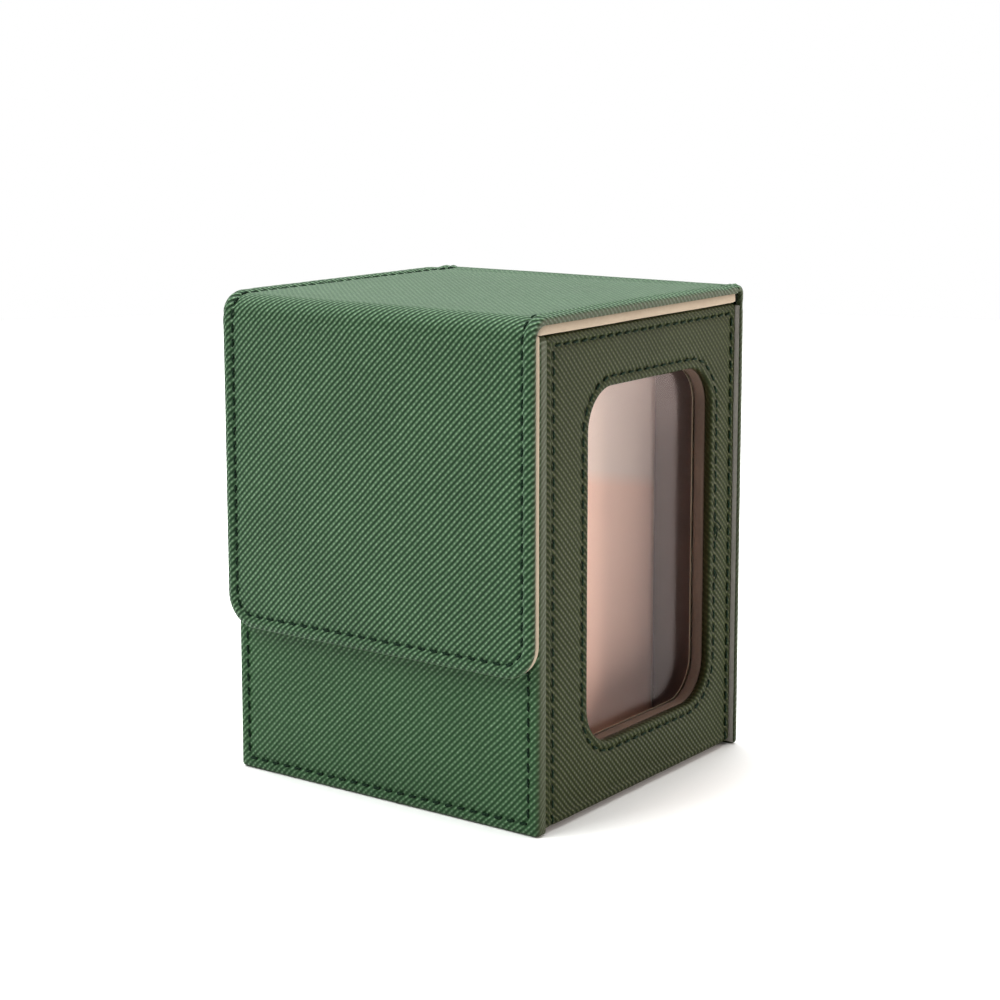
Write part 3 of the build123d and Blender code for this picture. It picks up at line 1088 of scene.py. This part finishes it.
jamb_depth = window_high.x - frame_low.x
jamb_profile = [
    (5.0, -window_depth - 0.05), (0.5, -window_depth - 0.05), (0.12, -window_depth - 0.12),
    (-0.02, -window_depth - 0.4), (-0.06, -2.6), (-0.06, -3.4), (-0.02, -jamb_depth + 0.3),
    (0.1, -jamb_depth + 0.06), (0.5, -jamb_depth), (5.0, -jamb_depth),
]
window_jamb = lay_rings(
    "window_jamb",
    [hole_ring(offset, height, offset + height) for offset, height in jamb_profile],
    right_place,
    gauge=0,
    closed=True,
)
finish_piece(window_jamb, jamb_nap_painted_shade, ("window_frame",), "box")

film_u = film_high.y - film_low.y
film_v = film_high.z - film_low.z


def film_place(u, v, h):
    """Film behind the opening, very slightly bowed."""
    bow = 0.10 * math.cos(math.pi * u / film_u) * math.cos(math.pi * (v / film_v - 0.5))
    return Vector((film_high.x + h - bow - 0.02, side_middle + hole_u + u, film_low.z + v)) * MM


window_pane = lay_sheet(
    "window_pane",
    sheet_grid(film_u, film_v, [(0.0, 0.0), (1.0, 0.0)], 0.0, spacing=2.0),
    film_place,
    gauge=0.25,
    wave=0.02,
)
finish_piece(window_pane, film, ("window_film",), "box")

# -------------------------------- bottom and inner linings
LINING_FACES = {
    "front_lining": ("y", 1, 0.8, nap_flat),
    "left_lining": ("x", 1, 0.0, nap_flat),
    "bottom_lining": ("z", 1, 0.0, nap_flat),
    "rear_lining": ("y", -1, 0.0, rear_nap_painted_shade),
}


def slab_place(low, high, axis, sign):
    """Place function and flat size for the inner face of a thin slab."""
    across, up = {"x": ("y", "z"), "y": ("x", "z"), "z": ("x", "y")}[axis]
    middle = (getattr(low, across) + getattr(high, across)) / 2
    face = getattr(high if sign > 0 else low, axis)

    def place(u, v, h):
        spot = Vector((0, 0, 0))
        setattr(spot, across, middle + u)
        setattr(spot, up, getattr(low, up) + v)
        setattr(spot, axis, face + sign * h)
        return spot * MM

    width = getattr(high, across) - getattr(low, across)
    length = getattr(high, up) - getattr(low, up)
    return place, width, length


def soft_slab(node, axis, sign, tuck, nap, seed):
    """Suede over one inner face, its two sides tucked in out of sight."""
    low, high = corners(node)
    place, width, length = slab_place(low, high, axis, sign)
    depth = getattr(high, axis) - getattr(low, axis)
    border = lining_border(depth, min(0.3, depth * 0.7))
    grid = sheet_grid(width - 2 * tuck, length, border, 0.4, spacing=1.6)
    piece = lay_sheet(node + "_suede", grid, place, seed=seed, gauge=depth * 0.6, wave=0.05)
    finish_piece(piece, nap, (node,), "box")


for number, (node, settings) in enumerate(LINING_FACES.items()):
    soft_slab(node, *settings, seed=10.0 + number)

lining_low, _ = corners("window_lining")
inner_face_depth = window_high.x - lining_low.x
window_suede = lay_rings(
    "window_lining_suede",
    [wall_ring(0.45, -jamb_depth - 0.05), wall_ring(0.4, -inner_face_depth + 0.15),
     wall_ring(0.6, -inner_face_depth), wall_ring(3.0, -inner_face_depth),
     hole_ring(2.0, -inner_face_depth), hole_ring(0.2, -inner_face_depth),
     hole_ring(0.0, -inner_face_depth + 0.15), hole_ring(0.0, -jamb_depth - 0.35)],
    right_place,
    gauge=0,
)
finish_piece(window_suede, nap_flat, ("window_lining",), "box")

partition_turn = partition_high.x - partition_low.x + 2 * (slot_high.x - slot_low.x)
partition_round = partition_turn / 2
partition_middle = (partition_low.x + partition_high.x) / 2
partition_rise = partition_high.z - partition_low.z - partition_round + 0.4
partition_bend = partition_round * math.pi
partition_y = (partition_low.y + partition_high.y) / 2


def partition_place(u, v, h):
    """Suede up one face of the partition, over its top and down the other."""
    reach = partition_round + h
    if v <= partition_rise:
        x = partition_middle + reach
        z = partition_low.z + v
    elif v <= partition_rise + partition_bend:
        angle = (v - partition_rise) / partition_round
        x = partition_middle + reach * math.cos(angle)
        z = partition_low.z + partition_rise + reach * math.sin(angle)
    else:
        x = partition_middle - reach
        z = partition_low.z + 2 * partition_rise + partition_bend - v
    return Vector((x, partition_y + u, z)) * MM


partition_suede = lay_sheet(
    "partition_suede",
    sheet_grid(partition_high.y - partition_low.y, 2 * partition_rise + partition_bend,
               [(0.0, 0.0), (2.0, 0.0)], 0.0, spacing=0.9),
    partition_place,
    seed=20.0,
    gauge=0.3,
    wave=0.05,
)
finish_piece(partition_suede, partition_nap_painted_light, ("slot_lining", "partition_lining"), "box")

base_place, base_width, base_length = slab_place(bottom_low, bottom_high, "z", -1)
base_cover = lay_sheet(
    "base_cover",
    sheet_grid(base_width, base_length, [(0.0, 0.0), (3.0, 0.0)], 0.0, spacing=1.5),
    base_place,
    seed=30.0,
    wave=0.0,
)
finish_piece(base_cover, side_leather_painted_warm_shade, ("bottom_skin",), "box")

# -------------------------------- carried-over CAD nodes
for name, node in cad_nodes.items():
    if node.hide_render:
        continue
    soft_edge = node.modifiers.new("soft_edge", "BEVEL")
    soft_edge.width = (board_edge if name.endswith("board") else metal_edge) * MM
    soft_edge.segments = 3
    soft_edge.limit_method = "ANGLE"
    node.data.materials.clear()
    node.data.materials.append(board if name.endswith("board") else metal)

# -------------------------------- stage, light and camera
scene = bpy.context.scene
scene.view_settings.view_transform = "Standard"


def plain_floor():
    """Wide pale floor."""
    material, tree = start_material("floor_paint")
    cloud = speckle(tree, object_layout(tree), 0.004, 2.0)
    colour = blend_colour(tree, cloud, (0.86, 0.86, 0.85, 1), (0.90, 0.90, 0.89, 1))
    surface(tree, colour, 0.8)
    radius = 0.85
    turns = 64
    points = [
        (radius * math.cos(2 * math.pi * turn / turns), radius * math.sin(2 * math.pi * turn / turns), 0)
        for turn in range(turns)
    ]
    floor = make_object("floor", points, [tuple(range(turns))])
    floor.data.materials.append(material)


def softbox(name, place, target, width, height, power, colour):
    """Large soft area light aimed at a point."""
    light = bpy.data.lights.new(name, "AREA")
    light.shape = "RECTANGLE"
    light.size = width
    light.size_y = height
    light.energy = power
    light.color = colour
    lamp = bpy.data.objects.new(name, light)
    lamp.location = place
    lamp.rotation_mode = "QUATERNION"
    lamp.rotation_quaternion = (Vector(target) - Vector(place)).to_track_quat("-Z", "Y")
    scene.collection.objects.link(lamp)


def studio_world():
    """Soft surround: white towards the left and rear, dim and slightly warm on the other side."""
    world = bpy.data.worlds.new("studio")
    scene.world = world
    world.use_nodes = True
    tree = world.node_tree
    tree.nodes.clear()
    way = put(tree, "ShaderNodeTexCoord").outputs["Generated"]
    toward = put(tree, "ShaderNodeVectorMath", {0: way, 1: (-0.70, 0.71, 0.1)},
                 operation="DOT_PRODUCT").outputs["Value"]
    share = put(tree, "ShaderNodeMapRange", {0: toward, 1: -0.35, 2: 0.72}).outputs[0]
    colour = blend_colour(tree, share, (0.30, 0.29, 0.28, 1), (1.0, 1.0, 1.0, 1))
    background = put(tree, "ShaderNodeBackground", {"Color": colour, "Strength": 1.0}).outputs[0]
    put(tree, "ShaderNodeOutputWorld", {"Surface": background})


plain_floor()
studio_world()
softbox("key", (-0.36, -0.58, 0.92), (0, 0, 0.05), 0.60, 0.60, 12.0, (0.97, 1.0, 0.99))
softbox("overhead", (-0.10, 0.15, 0.95), (0, 0, 0.05), 0.7, 0.7, 12.0, (0.97, 1.0, 1.0))
softbox("right_card", (0.46, 0.46, 0.12), (0.03, 0.0, 0.05), 0.34, 0.20, 3.4, (1.0, 0.86, 0.80))

camera_data = bpy.data.cameras.new("camera")
camera_place = Vector((0.2669, -0.3641, 0.1456))
camera_data.lens = 79.1
camera_data.sensor_width = 36.0
camera_data.shift_y = -0.1
camera = bpy.data.objects.new("camera", camera_data)
yaw = math.radians(35.93)
pitch = math.radians(8.69)
roll = math.radians(-0.04)
ahead = Vector((-math.sin(yaw) * math.cos(pitch), math.cos(yaw) * math.cos(pitch), -math.sin(pitch)))
rightward = Vector((math.cos(yaw), math.sin(yaw), 0))
upward = rightward.cross(ahead)
tilted_right = rightward * math.cos(roll) + upward * math.sin(roll)
tilted_up = upward * math.cos(roll) - rightward * math.sin(roll)
view = Matrix((tilted_right, tilted_up, -ahead)).transposed().to_4x4()
view.translation = camera_place
camera.matrix_world = view
scene.collection.objects.link(camera)
scene.camera = camera
